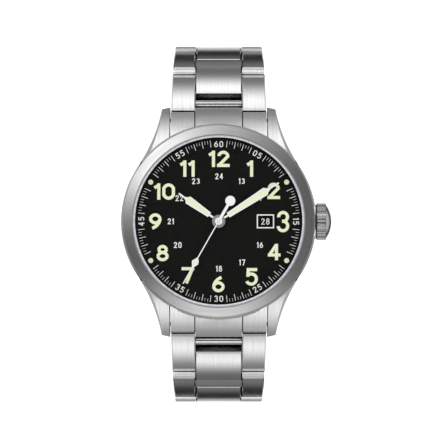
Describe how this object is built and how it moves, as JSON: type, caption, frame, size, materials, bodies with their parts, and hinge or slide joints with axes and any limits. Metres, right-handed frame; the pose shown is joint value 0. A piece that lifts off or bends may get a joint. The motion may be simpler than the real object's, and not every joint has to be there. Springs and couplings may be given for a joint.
{
  "type": "field watch",
  "caption": "Steel field watch with a black numbered dial, date window, three luminous hands, knurled crown and a three-piece-link bracelet with a fold-over clasp.",
  "frame": {"origin": "centre of the caseback's flat, on the wrist side", "axes": "+Z out through the crystal, +Y towards twelve o'clock, +X towards the crown"},
  "size_m": [0.0433, 0.0756, 0.0469],
  "materials": {
    "case_steel": "brushed",
    "polished_steel": "polished",
    "bracelet_steel": "brushed",
    "sapphire": "polished with a bevelled rim",
    "seal_rubber": "matt",
    "dial_black": "matt black",
    "lume": "pale green luminous paint",
    "white_print": "white ink",
    "white_paint": "white",
    "movement_plastic": "moulded",
    "movement_brass": "brushed",
    "movement_steel": "satin",
    "copper_winding": "enamelled copper wire",
    "circuit_green": "lacquered"
  },
  "bodies": {
    "head": {"case_middle": "case_steel", "bezel": "case_steel", "caseback": "case_steel", "crystal": "sapphire", "crystal_gasket": "seal_rubber", "rehaut_ring": "polished_steel", "dial": "dial_black", "hour_numerals": "lume", "dial_print": "white_print", "date_frame": "white_paint", "caseback_seal": "seal_rubber", "movement_holder": "movement_plastic", "main_plate": "movement_brass", "train_bridge": "movement_brass", "stator": "movement_steel", "coil": "copper_winding", "battery": "movement_steel", "circuit_block": "circuit_green", "crown_tube": "polished_steel", "end_link_12": "bracelet_steel", "end_link_6": "bracelet_steel", "spring_bars": "polished_steel"},
    "seconds_hand_body": {"seconds_hand": "white_paint", "seconds_hand_lume": "lume", "seconds_wheel": "movement_brass"},
    "third_wheel_body": {"third_wheel": "movement_brass"},
    "minute_hand_body": {"minute_hand": "white_paint", "minute_hand_lume": "lume", "centre_wheel": "movement_brass"},
    "hour_hand_body": {"hour_hand": "white_paint", "hour_hand_lume": "lume", "hour_wheel": "movement_brass"},
    "idler_wheel_body": {"idler_wheel": "movement_brass"},
    "rotor_body": {"rotor": "movement_steel"},
    "date_disc_body": {"date_disc": "dial_black", "date_numbers": "white_print"},
    "crown_slide_body": {"crown_gasket": "seal_rubber"},
    "crown_body": {"crown": "polished_steel", "stem": "movement_steel"},
    "inner_blade_body": {"inner_blade": "bracelet_steel", "fold_pin": "polished_steel"},
    "middle_blade_body": {"middle_blade": "bracelet_steel"},
    "clasp_cover_body": {"clasp_cover": "bracelet_steel", "cover_pin": "polished_steel", "latch_block": "movement_steel"},
    "push_button_left_body": {"push_button_left": "polished_steel"},
    "push_button_right_body": {"push_button_right": "polished_steel"},
    "link_12_1_body": {"link_12_1": "bracelet_steel"},
    "link_12_2_body": {"link_12_2": "bracelet_steel"},
    "link_12_3_body": {"link_12_3": "bracelet_steel"},
    "link_12_4_body": {"link_12_4": "bracelet_steel"},
    "link_12_5_body": {"link_12_5": "bracelet_steel"},
    "link_12_6_body": {"link_12_6": "bracelet_steel", "strap_spring_bar": "polished_steel"},
    "link_6_1_body": {"link_6_1": "bracelet_steel"},
    "link_6_2_body": {"link_6_2": "bracelet_steel"},
    "link_6_3_body": {"link_6_3": "bracelet_steel"},
    "link_6_4_body": {"link_6_4": "bracelet_steel"},
    "link_6_5_body": {"link_6_5": "bracelet_steel"}
  },
  "joints": [
    {"name": "seconds_turn", "type": "hinge", "parent": "head", "child": "seconds_hand_body", "pos_m": [0, 0, 0.007], "axis": [0, 0, 1], "continuous": true},
    {"name": "third_turn", "type": "hinge", "parent": "head", "child": "third_wheel_body", "pos_m": [-0.00195, 0.00338, 0.0035], "axis": [0, 0, 1], "continuous": true},
    {"name": "minute_turn", "type": "hinge", "parent": "head", "child": "minute_hand_body", "pos_m": [0, 0, 0.007], "axis": [0, 0, 1], "continuous": true},
    {"name": "hour_turn", "type": "hinge", "parent": "head", "child": "hour_hand_body", "pos_m": [0, 0, 0.007], "axis": [0, 0, 1], "continuous": true},
    {"name": "idler_turn", "type": "hinge", "parent": "head", "child": "idler_wheel_body", "pos_m": [0.00355, -0.00129, 0.0035], "axis": [0, 0, 1], "continuous": true},
    {"name": "rotor_turn", "type": "hinge", "parent": "head", "child": "rotor_body", "pos_m": [0.00524, -0.00298, 0.0021], "axis": [0, 0, 1], "continuous": true},
    {"name": "date_turn", "type": "hinge", "parent": "head", "child": "date_disc_body", "pos_m": [0, 0, 0.0058], "axis": [0, 0, 1], "continuous": true},
    {"name": "crown_pull", "type": "slide", "parent": "head", "child": "crown_slide_body", "axis": [1, 0, 0], "range_m": [0, 0.001]},
    {"name": "crown_turn", "type": "hinge", "parent": "crown_slide_body", "child": "crown_body", "pos_m": [0.0215, 0, 0.0041], "axis": [1, 0, 0], "continuous": true},
    {"name": "link_12_1_hinge", "type": "hinge", "parent": "head", "child": "link_12_1_body", "pos_m": [0, 0.02445, 0.0006], "axis": [1, 0, 0], "range_deg": [0, 22]},
    {"name": "link_12_2_hinge", "type": "hinge", "parent": "link_12_1_body", "child": "link_12_2_body", "pos_m": [0, 0.03204, -0.00344], "axis": [1, 0, 0], "range_deg": [0, 44]},
    {"name": "link_12_3_hinge", "type": "hinge", "parent": "link_12_2_body", "child": "link_12_3_body", "pos_m": [0, 0.03609, -0.01102], "axis": [1, 0, 0], "range_deg": [0, 38]},
    {"name": "link_12_4_hinge", "type": "hinge", "parent": "link_12_3_body", "child": "link_12_4_body", "pos_m": [0, 0.03609, -0.01962], "axis": [1, 0, 0], "range_deg": [0, 33]},
    {"name": "link_12_5_hinge", "type": "hinge", "parent": "link_12_4_body", "child": "link_12_5_body", "pos_m": [0, 0.03268, -0.02752], "axis": [1, 0, 0], "range_deg": [0, 47]},
    {"name": "link_12_6_hinge", "type": "hinge", "parent": "link_12_5_body", "child": "link_12_6_body", "pos_m": [0, 0.02519, -0.03175], "axis": [1, 0, 0], "range_deg": [0, 31]},
    {"name": "link_6_1_hinge", "type": "hinge", "parent": "head", "child": "link_6_1_body", "pos_m": [0, -0.02445, 0.0006], "axis": [-1, 0, 0], "range_deg": [0, 22]},
    {"name": "link_6_2_hinge", "type": "hinge", "parent": "link_6_1_body", "child": "link_6_2_body", "pos_m": [0, -0.03204, -0.00344], "axis": [-1, 0, 0], "range_deg": [0, 44]},
    {"name": "link_6_3_hinge", "type": "hinge", "parent": "link_6_2_body", "child": "link_6_3_body", "pos_m": [0, -0.03609, -0.01102], "axis": [-1, 0, 0], "range_deg": [0, 38]},
    {"name": "link_6_4_hinge", "type": "hinge", "parent": "link_6_3_body", "child": "link_6_4_body", "pos_m": [0, -0.03609, -0.01962], "axis": [-1, 0, 0], "range_deg": [0, 33]},
    {"name": "link_6_5_hinge", "type": "hinge", "parent": "link_6_4_body", "child": "link_6_5_body", "pos_m": [0, -0.03268, -0.02752], "axis": [-1, 0, 0], "range_deg": [0, 47]},
    {"name": "blade_hinge", "type": "hinge", "parent": "link_6_5_body", "child": "inner_blade_body", "pos_m": [0, -0.02519, -0.03175], "axis": [-1, 0, 0], "range_deg": [0, 30]},
    {"name": "fold_hinge", "type": "hinge", "parent": "inner_blade_body", "child": "middle_blade_body", "pos_m": [0, 0.0094, -0.03285], "axis": [1, 0, 0], "range_deg": [0, 150]},
    {"name": "cover_hinge", "type": "hinge", "parent": "middle_blade_body", "child": "clasp_cover_body", "pos_m": [0, -0.0193, -0.03395], "axis": [-1, 0, 0], "range_deg": [0, 150]},
    {"name": "button_left_press", "type": "slide", "parent": "clasp_cover_body", "child": "push_button_left_body", "axis": [1, 0, 0], "range_m": [0, 0.0008], "stiffness_N_per_m": 400, "springref_m": -0.0004},
    {"name": "button_right_press", "type": "slide", "parent": "clasp_cover_body", "child": "push_button_right_body", "axis": [-1, 0, 0], "range_m": [0, 0.0008], "stiffness_N_per_m": 400, "springref_m": -0.0004}
  ],
  "couplings": [
    {"joint": "third_turn", "follows": "seconds_turn", "ratio": -0.13333},
    {"joint": "minute_turn", "follows": "seconds_turn", "ratio": 0.016667},
    {"joint": "hour_turn", "follows": "seconds_turn", "ratio": 0.0013889},
    {"joint": "idler_turn", "follows": "seconds_turn", "ratio": -5},
    {"joint": "rotor_turn", "follows": "seconds_turn", "ratio": 30},
    {"joint": "cover_hinge", "follows": "fold_hinge", "ratio": 1}
  ]
}
